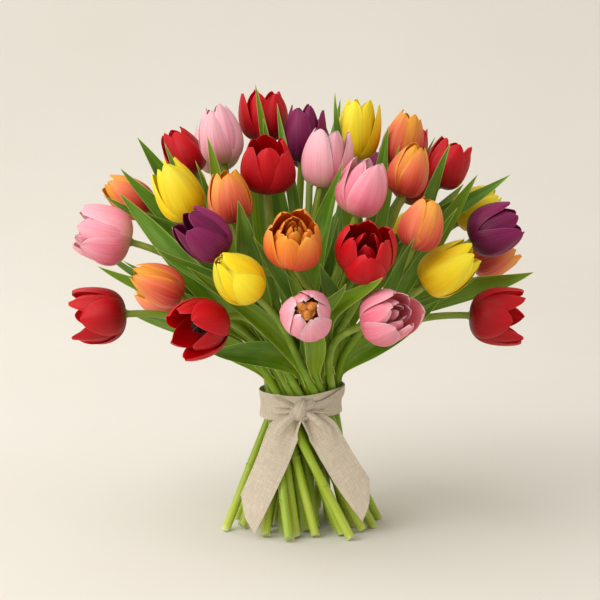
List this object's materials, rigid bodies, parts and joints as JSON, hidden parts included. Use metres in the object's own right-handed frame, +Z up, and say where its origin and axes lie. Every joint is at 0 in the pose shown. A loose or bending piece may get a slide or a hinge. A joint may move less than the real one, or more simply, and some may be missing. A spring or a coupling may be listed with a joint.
{
  "type": "bunch of tulips",
  "caption": "Hand-tied spiral bunch of cut tulips in mixed colours, bound with a linen ribbon, that stands unheld on its fanned stem ends.",
  "frame": {"origin": "on the standing surface, under the middle of the bunch", "axes": "+Z up along the bunch's axis, -Y towards the front where the ribbon is knotted, +X to the right seen from the front"},
  "size_m": [0.4558, 0.4121, 0.4465],
  "materials": {
    "petals_red": "satin, waxy petals",
    "petals_pink": "satin, waxy petals",
    "petals_yellow": "satin, waxy petals",
    "petals_purple": "satin, waxy petals",
    "petals_orange": "satin, waxy petals",
    "greenery": "satin leaves and stems",
    "linen": "matt plain weave"
  },
  "bodies": {
    "root": {"bloom_orange_back_3_2": "petals_orange", "bloom_orange_back_4_1": "petals_orange", "bloom_orange_behind_right": "petals_orange", "bloom_orange_far_left": "petals_orange", "bloom_orange_low_left": "petals_orange", "bloom_orange_middle_left": "petals_orange", "bloom_orange_open": "petals_orange", "bloom_orange_right": "petals_orange", "bloom_orange_top": "petals_orange", "bloom_orange_upper_right": "petals_orange", "bloom_pink_back_1_1": "petals_pink", "bloom_pink_back_2_2": "petals_pink", "bloom_pink_far_left": "petals_pink", "bloom_pink_middle": "petals_pink", "bloom_pink_middle_right": "petals_pink", "bloom_pink_open_middle": "petals_pink", "bloom_pink_open_right": "petals_pink", "bloom_pink_top_left": "petals_pink", "bloom_purple_back_1_2": "petals_purple", "bloom_purple_back_2_3": "petals_purple", "bloom_purple_left": "petals_purple", "bloom_purple_right": "petals_purple", "bloom_purple_top": "petals_purple", "bloom_red_back_1_3": "petals_red", "bloom_red_back_2_4": "petals_red", "bloom_red_back_3_1": "petals_red", "bloom_red_far_left": "petals_red", "bloom_red_far_right": "petals_red", "bloom_red_middle_upper": "petals_red", "bloom_red_open_left": "petals_red", "bloom_red_open_right": "petals_red", "bloom_red_top": "petals_red", "bloom_red_upper_left": "petals_red", "bloom_red_upper_right": "petals_red", "bloom_yellow_back_2_1": "petals_yellow", "bloom_yellow_back_3_3": "petals_yellow", "bloom_yellow_back_4_2": "petals_yellow", "bloom_yellow_behind_right": "petals_yellow", "bloom_yellow_left": "petals_yellow", "bloom_yellow_middle_left": "petals_yellow", "bloom_yellow_right": "petals_yellow", "bloom_yellow_top": "petals_yellow", "leafy_stems_1": "greenery", "leafy_stems_2": "greenery", "leafy_stems_3": "greenery", "leafy_stems_4": "greenery", "leafy_stems_5": "greenery", "leafy_stems_6": "greenery", "leafy_stems_7": "greenery", "leafy_stems_8": "greenery", "leafy_stems_9": "greenery", "leafy_stems_10": "greenery", "leafy_stems_11": "greenery", "leafy_stems_12": "greenery", "leafy_stems_13": "greenery", "leafy_stems_14": "greenery", "ribbon": "linen"}
  },
  "joints": []
}
